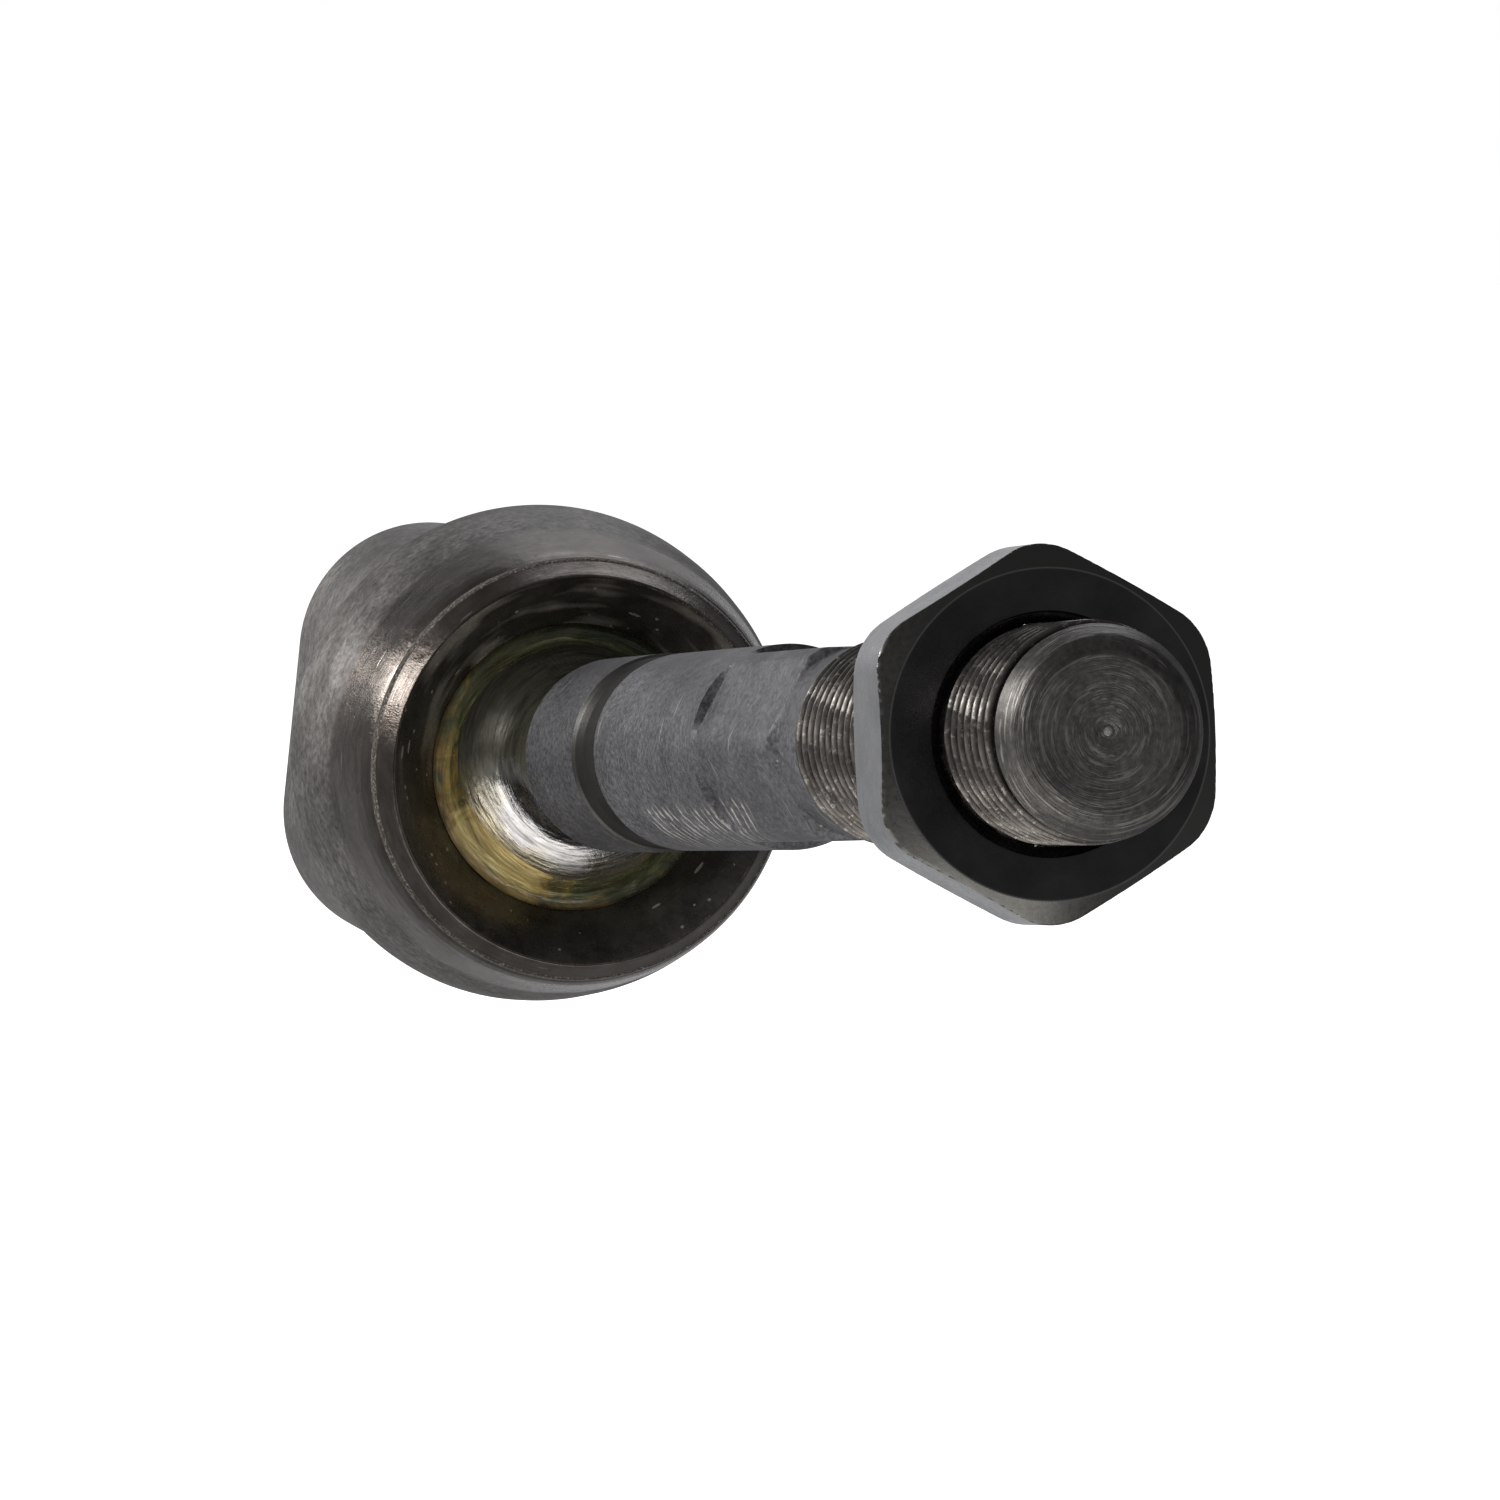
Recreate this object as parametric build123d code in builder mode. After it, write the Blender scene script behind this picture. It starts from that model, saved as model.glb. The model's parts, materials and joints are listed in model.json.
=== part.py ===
"""Axial ball joint (inner tie rod) with its jam nut. Millimetres, +Z up.

The origin is the centre of the face that seats the housing on the steering rack. +X runs along
the housing's axis, from that face to the open mouth where the ball rod comes out. The rod is
stored a few degrees off that axis, as the joint's friction holds it.
"""

import os
from math import atan2, cos, pi, radians, sin, sqrt, tan

from build123d import *

# Driving dimensions: joint
ball_x = 24.0  # from the seating face to the ball's centre
ball_r = 13.5
rest_tilt = 5.3  # degrees between the rod's axis and the housing's axis
rest_heading = 62.6  # degrees from +Y towards +Z, the side the rod leans to
film_gap = 0.03  # between the grease and each of its neighbours
film_thickness = 0.2
film_edge = 35.5  # degrees from the rod's axis: the film is open round the neck
fit_gap = 0.04  # running fit of the shell in the housing, and of the nut on the thread

# Driving dimensions: housing
cup_r = 19.45
cup_back_x = ball_x - 6.5  # the cup is widest here, and tapers to the rolled rim
collar_front_x = 13.4  # the flats of the wrench collar end here
collar_width = 33.4  # across its flats
collar_corner_r = 10.4
collar_clock = -5.2  # degrees about +X
collar_chamfer = 0.8
taper_points = [
    (ball_x - 3.5, 19.2),
    (ball_x, 18.75),
    (ball_x + 3.5, 18.05),
    (ball_x + 7.0, 17.35),
    (ball_x + 10.4, 16.65),
]
taper_slope = -0.25  # of its outline where it meets the rim
rim_points = [(ball_x + 11.2, 16.35), (ball_x + 11.9, 16.15), (ball_x + 12.4, 15.8)]
lip_x = ball_x + 13.8
lip_outer_r = 15.0
lip_r = 14.85
throat_x = ball_x + 9.0  # the mouth's cone is narrowest here
throat_r = 10.8
throat_back_r = 11.8
rack_thread_r = 8.0  # M16 x 1.5
rack_thread_length = 16.0
thread_chamfer = 1.1

# Driving dimensions: bearing shell
shell_wall = 2.0
shell_front_x = ball_x + 7.6
shell_back_x = ball_x - 15.5
shell_shoulder_x = ball_x - 9.0
shell_back_r = 9.5
shell_arc_middle = 75.0  # degrees, a point between the ends of its front arcs

# Driving dimensions: ball rod, as distances from the ball's centre along the rod
neck_r = 5.9
neck_fillet = 3.5
neck_end = 18.5
neck_front_r = 6.9
shank_start = 22.3
shank_r = 7.2
boot_groove_start = 37.0
boot_groove_end = 43.6
boot_groove_r = 6.76
boot_land_r = 7.3
wrench_start = 72.5
wrench_end = 93.5
wrench_width = 13.0  # across the flats
wrench_clock = 31.3  # degrees about the rod
blank_r = 6.55
thread_start = 98.2
thread_r = 7.0  # M14 x 1.5
thread_end = 146.2
rod_end = 148.5
end_rim_r = 6.71
end_rim = 146.5
end_face_r = 5.4
edge_break = 0.4

# Driving dimensions: jam nut
nut_width = 22.0  # across its flats
nut_thickness = 7.0
nut_front = 135.9  # distance of its outer face from the ball's centre
nut_corner_fillet = 4.0
nut_face_r = 10.5
nut_chamfer = 30.0  # degrees
nut_reach = 12.4  # the chamfers' cones go on to this radius, outside the corners
nut_mouth_r = 7.7
nut_clock = 1.8  # degrees about the rod
root_groove_depth = 0.92  # the depth of the thread
root_groove_width = 0.75  # half its pitch
root_groove_setback = 0.1  # behind the nut's outer face

# The places and directions that follow from those
ball_centre = Vector(ball_x, 0, 0)
tilt, heading = radians(rest_tilt), radians(rest_heading)
rod_dir = Vector(cos(tilt), sin(tilt) * cos(heading), sin(tilt) * sin(heading))
swing_dir = Vector(1, 0, 0).cross(rod_dir).normalized()
rod_profile = Plane(origin=ball_centre, x_dir=rod_dir, z_dir=swing_dir)
rod_axis = Axis(ball_centre, rod_dir)
film_r = ball_r + film_gap
shell_bore_r = film_r + film_thickness + film_gap
shell_r = shell_bore_r + shell_wall
cavity_r = shell_r + fit_gap
cut_overrun = 1.0  # how far a cut runs past the face it opens


def across_rod(distance, clock=0.0):
    """The plane square to the rod at a distance from the ball's centre, its X turned from upright."""
    upright = (Vector(0, 0, 1) - rod_dir * rod_dir.Z).normalized()
    turned = upright.rotate(Axis((0, 0, 0), rod_dir), clock)
    return Plane(origin=ball_centre + rod_dir * distance, x_dir=turned, z_dir=rod_dir)


def on_sphere(radius, distance):
    """The height of a sphere's surface above its axis, at a distance from its centre."""
    return sqrt(radius**2 - distance**2)


def on_circle(centre, radius, angle):
    return (centre[0] + radius * cos(angle), centre[1] + radius * sin(angle))


# Housing: the cup, blended into a wrench collar with four flats, and the stud for the rack
with BuildPart() as housing:
    with BuildSketch(Plane.XY):
        with BuildLine():
            Line((collar_front_x, 0), (collar_front_x, collar_width / 2))
            Spline(
                (collar_front_x, collar_width / 2),
                (cup_back_x, cup_r),
                tangents=[(1, 1), (1, 0)],
            )
            Spline(
                (cup_back_x, cup_r),
                *taper_points,
                tangents=[(1, 0), (1, taper_slope)],
            )
            Polyline(
                taper_points[-1],
                *rim_points,
                (lip_x, lip_outer_r),
                (lip_x, 0),
                (collar_front_x, 0),
            )
        make_face()
    revolve(axis=Axis.X)

    with BuildSketch(Plane.YZ):
        RectangleRounded(
            collar_width, collar_width, collar_corner_r, rotation=collar_clock
        )
    extrude(amount=cup_back_x)
    chamfer(housing.faces().sort_by(Axis.X)[0].edges(), collar_chamfer)

    with BuildSketch(Plane.YZ):
        Circle(rack_thread_r)
    extrude(amount=-rack_thread_length)
    chamfer(housing.faces().sort_by(Axis.X)[0].edges(), thread_chamfer)

    # the space for the shell, closed over its front end by the rolled lip, and the open cone
    with BuildSketch(Plane.XY):
        with BuildLine():
            Polyline(
                (shell_back_x - fit_gap, 0),
                (shell_back_x - fit_gap, shell_back_r + fit_gap),
                (shell_shoulder_x, cavity_r),
                (ball_x, cavity_r),
            )
            cavity_front_x = shell_front_x + fit_gap
            cavity_top = on_sphere(cavity_r, cavity_front_x - ball_x)
            ThreePointArc(
                (ball_x, cavity_r),
                on_circle((ball_x, 0), cavity_r, radians(shell_arc_middle)),
                (cavity_front_x, cavity_top),
            )
            Polyline(
                (cavity_front_x, cavity_top),
                (cavity_front_x, throat_back_r),
                (throat_x, throat_r),
                (lip_x, lip_r),
                (lip_x + cut_overrun, lip_r),
                (lip_x + cut_overrun, 0),
                (shell_back_x - fit_gap, 0),
            )
        make_face()
    revolve(axis=Axis.X, mode=Mode.SUBTRACT)

# Bearing shell: one moulded cup that holds the ball past its widest place
with BuildPart() as bearing_shell:
    with BuildSketch(Plane.XY):
        with BuildLine():
            Polyline(
                (ball_x - shell_bore_r, 0),
                (shell_back_x, 0),
                (shell_back_x, shell_back_r),
                (shell_shoulder_x, shell_r),
                (ball_x, shell_r),
            )
            outer_top = on_sphere(shell_r, shell_front_x - ball_x)
            inner_top = on_sphere(shell_bore_r, shell_front_x - ball_x)
            ThreePointArc(
                (ball_x, shell_r),
                on_circle((ball_x, 0), shell_r, radians(shell_arc_middle)),
                (shell_front_x, outer_top),
            )
            Line((shell_front_x, outer_top), (shell_front_x, inner_top))
            ThreePointArc(
                (shell_front_x, inner_top),
                (ball_x, shell_bore_r),
                (ball_x - shell_bore_r, 0),
            )
        make_face()
    revolve(axis=Axis.X)

# Grease film: the layer between ball and shell, open round the neck
film_end = radians(film_edge)
with BuildPart() as grease_film:
    with BuildSketch(rod_profile):
        with BuildLine():
            inner, outer = film_r, film_r + film_thickness
            ThreePointArc(
                on_circle((0, 0), inner, film_end), (0, inner), (-inner, 0)
            )
            Line((-inner, 0), (-outer, 0))
            ThreePointArc(
                (-outer, 0), (0, outer), on_circle((0, 0), outer, film_end)
            )
            Line(
                on_circle((0, 0), outer, film_end),
                on_circle((0, 0), inner, film_end),
            )
        make_face()
    revolve(axis=rod_axis)

# Ball rod: one forging, with the ball, the neck, the groove for the bellows, wrench flats and a thread
fillet_y = neck_r + neck_fillet
fillet_x = sqrt((ball_r + neck_fillet) ** 2 - fillet_y**2)
towards_ball = atan2(-fillet_y, -fillet_x)
blend_end = on_circle((fillet_x, fillet_y), neck_fillet, towards_ball)
blend_middle = on_circle(
    (fillet_x, fillet_y), neck_fillet, (towards_ball - pi / 2) / 2
)
groove_front = nut_front - root_groove_setback
groove_back = groove_front - root_groove_width
with BuildPart() as ball_rod:
    with BuildSketch(rod_profile):
        with BuildLine():
            ThreePointArc((-ball_r, 0), (0, ball_r), blend_end)
            ThreePointArc(blend_end, blend_middle, (fillet_x, neck_r))
            Polyline(
                (fillet_x, neck_r),
                (neck_end, neck_r),
                (shank_start - edge_break, neck_front_r),
                (shank_start, boot_land_r),
                (boot_groove_start, boot_land_r),
                (boot_groove_start, boot_groove_r),
                (boot_groove_end, boot_groove_r),
                (boot_groove_end, shank_r),
                (wrench_end - edge_break, shank_r),
                (wrench_end, blank_r),
                (thread_start, blank_r),
                (thread_start + edge_break, thread_r),
                (groove_back, thread_r),
                (groove_back, thread_r - root_groove_depth),
                (groove_front, thread_r - root_groove_depth),
                (groove_front, thread_r),
                (thread_end, thread_r),
                (end_rim, end_rim_r),
                (rod_end, end_face_r),
                (rod_end, 0),
                (-ball_r, 0),
            )
        make_face()
    revolve(axis=rod_axis)
    with BuildSketch(across_rod(wrench_start, wrench_clock)):
        Circle(2 * shank_r)
        RegularPolygon(
            wrench_width / 2, 6, major_radius=False, mode=Mode.SUBTRACT
        )
    extrude(amount=wrench_end - wrench_start, mode=Mode.SUBTRACT)

# Jam nut: thin hexagon with rounded corners, chamfered on both sides, on the thread
nut_back = nut_front - nut_thickness
corner_drop = (nut_reach - nut_face_r) * tan(radians(nut_chamfer))
with BuildPart() as jam_nut:
    with BuildSketch(across_rod(nut_back, nut_clock)) as hexagon:
        RegularPolygon(nut_width / 2, 6, major_radius=False)
        fillet(hexagon.vertices(), nut_corner_fillet)
    extrude(amount=nut_thickness)
    with BuildSketch(rod_profile):
        with BuildLine():
            Polyline(
                (nut_back, 0),
                (nut_back, nut_face_r),
                (nut_back + corner_drop, nut_reach),
                (nut_front - corner_drop, nut_reach),
                (nut_front, nut_face_r),
                (nut_front, 0),
                (nut_back, 0),
            )
        make_face()
    revolve(axis=rod_axis, mode=Mode.INTERSECT)
    with BuildSketch(rod_profile):
        bore_r = thread_r + fit_gap
        flare = nut_mouth_r - bore_r
        with BuildLine():
            Polyline(
                (nut_back, 0),
                (nut_back, nut_mouth_r),
                (nut_back + flare, bore_r),
                (nut_front - flare, bore_r),
                (nut_front, nut_mouth_r),
                (nut_front, 0),
                (nut_back, 0),
            )
        make_face()
    revolve(axis=rod_axis, mode=Mode.SUBTRACT)

pieces = {
    "housing": housing,
    "bearing_shell": bearing_shell,
    "grease_film": grease_film,
    "ball_rod": ball_rod,
    "jam_nut": jam_nut,
}
os.makedirs("parts", exist_ok=True)
for name, piece in pieces.items():
    piece.part.label = name
    export_step(piece.part, f"parts/{name}.step")
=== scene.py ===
"""Looks of the axial ball joint: detailed housing, ball rod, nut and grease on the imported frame.

Lengths are in millimetres along each piece's own axis, and become metres when a mesh is built.
The housing's axis is +X from its seating face, and the rod's axis starts at the ball's centre.
Clock angles are in degrees round those axes from +Z.
"""

import json
from math import cos, pi, radians, sin
import bpy
import numpy as np
from mathutils import Matrix, Vector


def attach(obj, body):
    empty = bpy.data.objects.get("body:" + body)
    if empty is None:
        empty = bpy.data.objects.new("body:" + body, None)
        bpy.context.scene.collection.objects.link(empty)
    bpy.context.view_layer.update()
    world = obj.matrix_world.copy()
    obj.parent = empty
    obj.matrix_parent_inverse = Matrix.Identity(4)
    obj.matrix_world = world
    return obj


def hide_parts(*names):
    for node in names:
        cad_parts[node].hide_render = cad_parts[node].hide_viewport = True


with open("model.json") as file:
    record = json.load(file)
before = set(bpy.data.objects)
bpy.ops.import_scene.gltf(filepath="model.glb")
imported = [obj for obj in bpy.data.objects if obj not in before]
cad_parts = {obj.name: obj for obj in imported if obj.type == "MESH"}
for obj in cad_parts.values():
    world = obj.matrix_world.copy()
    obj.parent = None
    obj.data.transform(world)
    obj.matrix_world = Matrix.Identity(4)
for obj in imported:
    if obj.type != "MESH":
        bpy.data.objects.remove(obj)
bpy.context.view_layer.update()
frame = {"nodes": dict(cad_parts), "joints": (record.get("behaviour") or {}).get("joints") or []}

MM = 0.001
joints = {j["name"]: j for j in frame["joints"]}
ball_centre = np.array(joints["rod_spin"]["pos_m"])
rod_dir = np.array(joints["rod_spin"]["axis"])
rod_dir /= np.linalg.norm(rod_dir)
house_dir = np.array([1.0, 0.0, 0.0])
BALL = tuple(ball_centre)
BALL_X = ball_centre[0] / MM

# Ball rod, from the ball's centre
BALL_R = 13.5
NECK_R = 5.9
NECK_FILLET = 3.5
RIM_START = 22.3
RIM_R = 7.3
GROOVE = (37.0, 43.6)
GROOVE_R = 6.76
SHANK_R = 7.2
WRENCH = (72.5, 93.5)
WRENCH_HALF = 6.55
WRENCH_CLOCK = 31.3
BLANK_R = 6.55
PITCH = 1.5
THREAD = (98.2, 146.2)
THREAD_R = 7.0
THREAD_DEPTH = 0.92
ROD_END = 148.5
END_FACE_R = 5.0
RUB_TURN = (2.25, 3.0)
RUB_REACH = (54.0, 80.0)

# Jam nut, from the ball's centre
NUT_BACK = 128.9
NUT_FRONT = 135.9
NUT_HALF = 10.95
NUT_CORNER = 4.0
NUT_CORNER_R = 12.1
NUT_CLOCK = 1.8
NUT_FACE = 10.5
NUT_SLOPE = 0.577

# Housing, from the face that seats on the rack
COLLAR_HALF = 16.7
COLLAR_CORNER = 10.4
COLLAR_CLOCK = -5.2
COLLAR_FRONT = 13.4
SKIN_R = 15.85
STUD_BACK = -16.0
STUD_FRONT = -1.2
STUD_R = 8.0
STUD_CHAMFER = 1.1
STUD_RELIEF_R = 7.2
STUD_FACE_R = 6.6

# Cup and its mouth, from the ball's centre along the housing
CUP_R = 19.45
RIDGE = (11.4, 12.05)
RIDGE_R = 15.9
LIP = (13.8, 14.85)

# Centre of the painted highlight on the grease and ball, low on the left, in metres
PAINTED_HIGHLIGHT_SPOT = tuple(ball_centre + np.array((0.0095, -0.0062, -0.0068)))


def frame_about(axis):
    """Two directions square to axis: one as near +Z as it can be, and one a quarter turn on."""
    up = np.array([0.0, 0.0, 1.0]) - axis * axis[2]
    up /= np.linalg.norm(up)
    return up, np.cross(axis, up)


# ---------------------------------------------------------------- outlines


def rounded(points, radii):
    """A polyline of (distance, radius) points with each inner corner rounded by its radius."""
    points = [np.array(p, float) for p in points]
    out = [points[0]]
    for before, corner, after, radius in zip(points, points[1:], points[2:], radii):
        if radius <= 0:
            out.append(corner)
            continue
        a, b = before - corner, after - corner
        la, lb = np.linalg.norm(a), np.linalg.norm(b)
        a, b = a / la, b / lb
        half = np.arccos(np.clip(a @ b, -1, 1)) / 2
        reach = min(radius / np.tan(half), 0.48 * la, 0.48 * lb)
        start, end = corner + a * reach, corner + b * reach
        for t in np.linspace(0, 1, 6):
            out.append((1 - t) ** 2 * start + 2 * t * (1 - t) * corner + t**2 * end)
    out.append(points[-1])
    return np.array(out)


def spaced(outline, step):
    """The outline with more points, none further apart than step."""
    out = [outline[0]]
    for a, b in zip(outline, outline[1:]):
        count = max(1, int(np.ceil(np.linalg.norm(b - a) / step)))
        out += [a + (b - a) * i / count for i in range(1, count + 1)]
    return np.array(out)


def arc(centre, radius, start, end, count):
    angles = np.radians(np.linspace(start, end, count))
    return [
        (centre[0] + radius * np.cos(t), centre[1] + radius * np.sin(t)) for t in angles
    ]


def smoothstep(x, low, high):
    t = np.clip((x - low) / (high - low), 0, 1)
    return t * t * (3 - 2 * t)


# ---------------------------------------------------------------- meshes


def lathe(
    name, outline, origin, axis, shape=None, segments=192, zones=None, sharp=40, loop=False
):
    """A closed mesh of rings along an outline. shape(distance, radius, angle) may bend each ring.

    zones(start, end) gives each row of faces its material index, from the outline's two points.
    """
    up, side = frame_about(axis)
    angles = np.linspace(0, 2 * np.pi, segments, endpoint=False)
    dist = np.repeat(outline[:, 0][:, None], segments, 1)
    rad = np.repeat(outline[:, 1][:, None], segments, 1)
    ang = np.repeat(angles[None, :], len(outline), 0)
    if shape is not None:
        dist, rad = shape(dist, rad, ang)
    place = (
        origin[None, None, :]
        + dist[..., None] * MM * axis
        + (rad * np.cos(ang))[..., None] * MM * up
        + (rad * np.sin(ang))[..., None] * MM * side
    )
    rows = len(outline)
    first_tip = not loop and outline[0, 1] < 1e-6
    last_tip = not loop and outline[-1, 1] < 1e-6
    verts, index = [], np.zeros((rows, segments), int)
    for i in range(rows):
        if (i == 0 and first_tip) or (i == rows - 1 and last_tip):
            index[i, :] = len(verts)
            verts.append(place[i, 0])
        else:
            index[i, :] = len(verts) + np.arange(segments)
            verts += list(place[i])
    faces, materials = [], []
    pairs = [(i, i + 1) for i in range(rows - 1)] + ([(rows - 1, 0)] if loop else [])
    for i, k in pairs:
        kind = 0 if zones is None else zones(outline[i], outline[k])
        for j in range(segments):
            m = (j + 1) % segments
            corners = [index[i, j], index[k, j], index[k, m], index[i, m]]
            kept = [c for n, c in enumerate(corners) if c not in corners[:n]]
            if len(kept) > 2:
                faces.append([int(c) for c in kept])
                materials.append(kind)
    mesh = bpy.data.meshes.new(name)
    mesh.from_pydata([Vector(v) for v in verts], [], faces)
    mesh.polygons.foreach_set("material_index", materials)
    mesh.shade_smooth()
    mesh.set_sharp_from_angle(angle=np.radians(sharp))
    mesh.update()
    obj = bpy.data.objects.new(name, mesh)
    bpy.context.scene.collection.objects.link(obj)
    return obj


# ---------------------------------------------------------------- materials


class Shader:
    """A short way to write a node material."""

    def __init__(self, name):
        self.mat = bpy.data.materials.new(name)
        self.mat.use_nodes = True
        self.tree = self.mat.node_tree
        self.tree.nodes.clear()
        out = self.tree.nodes.new("ShaderNodeOutputMaterial")
        self.bsdf = self.tree.nodes.new("ShaderNodeBsdfPrincipled")
        self.tree.links.new(self.bsdf.outputs[0], out.inputs[0])
        coord = self.tree.nodes.new("ShaderNodeTexCoord")
        self.place = coord.outputs["Object"]

    def link(self, source, target):
        if isinstance(source, (int, float, tuple)):
            target.default_value = source
        else:
            self.tree.links.new(source, target)

    def math(self, kind, a, b=None, c=None, clamp=False):
        node = self.tree.nodes.new("ShaderNodeMath")
        node.operation = kind
        node.use_clamp = clamp
        for value, socket in zip((a, b, c), node.inputs):
            if value is not None:
                self.link(value, socket)
        return node.outputs[0]

    def along(self, direction, start=(0, 0, 0)):
        """Distance in millimetres from start along a direction, in the row frame."""
        moved = self.tree.nodes.new("ShaderNodeVectorMath")
        moved.operation = "SUBTRACT"
        self.link(self.place, moved.inputs[0])
        moved.inputs[1].default_value = start
        dot = self.tree.nodes.new("ShaderNodeVectorMath")
        dot.operation = "DOT_PRODUCT"
        self.link(moved.outputs[0], dot.inputs[0])
        dot.inputs[1].default_value = [d / MM for d in direction]
        return dot.outputs["Value"]

    def stretched(self, scale, start=(0, 0, 0), turn=(0, 0, 0)):
        node = self.tree.nodes.new("ShaderNodeMapping")
        node.inputs["Scale"].default_value = scale
        node.inputs["Location"].default_value = start
        node.inputs["Rotation"].default_value = turn
        self.link(self.place, node.inputs["Vector"])
        return node.outputs[0]

    def noise(self, scale, detail=4, rough=0.55, place=None, distortion=0.0):
        node = self.tree.nodes.new("ShaderNodeTexNoise")
        node.inputs["Scale"].default_value = scale
        node.inputs["Detail"].default_value = detail
        node.inputs["Roughness"].default_value = rough
        node.inputs["Distortion"].default_value = distortion
        self.link(self.place if place is None else place, node.inputs["Vector"])
        return node.outputs["Fac"]

    def voronoi(self, scale, place=None):
        node = self.tree.nodes.new("ShaderNodeTexVoronoi")
        node.inputs["Scale"].default_value = scale
        self.link(self.place if place is None else place, node.inputs["Vector"])
        return node.outputs["Distance"]

    def ramp(self, source, *stops):
        """Stops are (position, colour or grey)."""
        node = self.tree.nodes.new("ShaderNodeValToRGB")
        self.link(source, node.inputs[0])
        marks = node.color_ramp.elements
        while len(marks) < len(stops):
            marks.new(0.5)
        for mark, (at, colour) in zip(marks, stops):
            mark.position = at
            grey = isinstance(colour, (int, float))
            mark.color = (colour,) * 3 + (1,) if grey else tuple(colour) + (1,)
        return node.outputs[0]

    def mix(self, factor, a, b, kind="MIX"):
        node = self.tree.nodes.new("ShaderNodeMix")
        node.data_type = "RGBA"
        node.blend_type = kind
        self.link(factor, node.inputs["Factor"])
        for value, socket in ((a, node.inputs["A"]), (b, node.inputs["B"])):
            if isinstance(value, tuple) and len(value) == 3:
                value = value + (1,)
            self.link(value, socket)
        return node.outputs["Result"]

    def bump(self, height, strength, distance, normal=None):
        node = self.tree.nodes.new("ShaderNodeBump")
        node.inputs["Strength"].default_value = strength
        node.inputs["Distance"].default_value = distance
        self.link(height, node.inputs["Height"])
        if normal is not None:
            self.link(normal, node.inputs["Normal"])
        return node.outputs[0]

    def set(self, **values):
        for key, value in values.items():
            socket = self.bsdf.inputs[key.replace("_", " ")]
            if isinstance(value, tuple) and len(value) == 3:
                value = value + (1,)
            self.link(value, socket)
        return self.mat

    def scratches(self, seed, count=3, across=620, along=75, width=0.05):
        """Short straight scratches: thin plates scattered in space, each set turned another way."""
        found = None
        for k in range(count):
            turn = (seed + 1.1 * k, 0.7 * seed - 0.8 * k, 0.5 * k)
            place = self.stretched((across, along, along), (seed * 3 + k, seed, 0), turn)
            line = self.math("LESS_THAN", self.voronoi(1.0, place), width)
            found = line if found is None else self.math("MAXIMUM", found, line)
        return found

    def round_axis(self, axis, centre):
        """Millimetres from an axis, the angle round it from upright, and millimetres along it."""
        up, side = frame_about(np.array(axis))
        a, b = self.along(up, centre), self.along(side, centre)
        square = self.math("MULTIPLY_ADD", a, a, self.math("MULTIPLY", b, b))
        return self.math("SQRT", square), self.math("ARCTAN2", b, a), self.along(axis, centre)

    def polar(self, axis, centre, radial, turning, axial):
        """A vector for a texture, with its own scale outwards, round and along the axis."""
        radius, angle, height = self.round_axis(axis, centre)
        node = self.tree.nodes.new("ShaderNodeCombineXYZ")
        for kind, socket in zip(("COSINE", "SINE"), node.inputs):
            self.link(self.math("MULTIPLY", self.math(kind, angle), turning), socket)
        outwards = self.math("MULTIPLY", radius, radial)
        self.link(self.math("MULTIPLY_ADD", height, -axial, outwards), node.inputs[2])
        return node.outputs[0]

    def near(self, spot, reach):
        """1 at a point, falling to 0 at reach millimetres from it."""
        node = self.tree.nodes.new("ShaderNodeVectorMath")
        node.operation = "DISTANCE"
        self.link(self.place, node.inputs[0])
        node.inputs[1].default_value = spot
        return self.math("MULTIPLY_ADD", node.outputs["Value"], -1 / (reach * MM), 1.0, clamp=True)

    def window(self, value, low, high, soft):
        """1 between two limits, falling to 0 over the length soft outside them."""
        half = (high - low) / 2
        off = self.math("ABSOLUTE", self.math("SUBTRACT", value, low + half))
        return self.math("MULTIPLY_ADD", off, -1 / soft, half / soft + 1, clamp=True)


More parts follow.
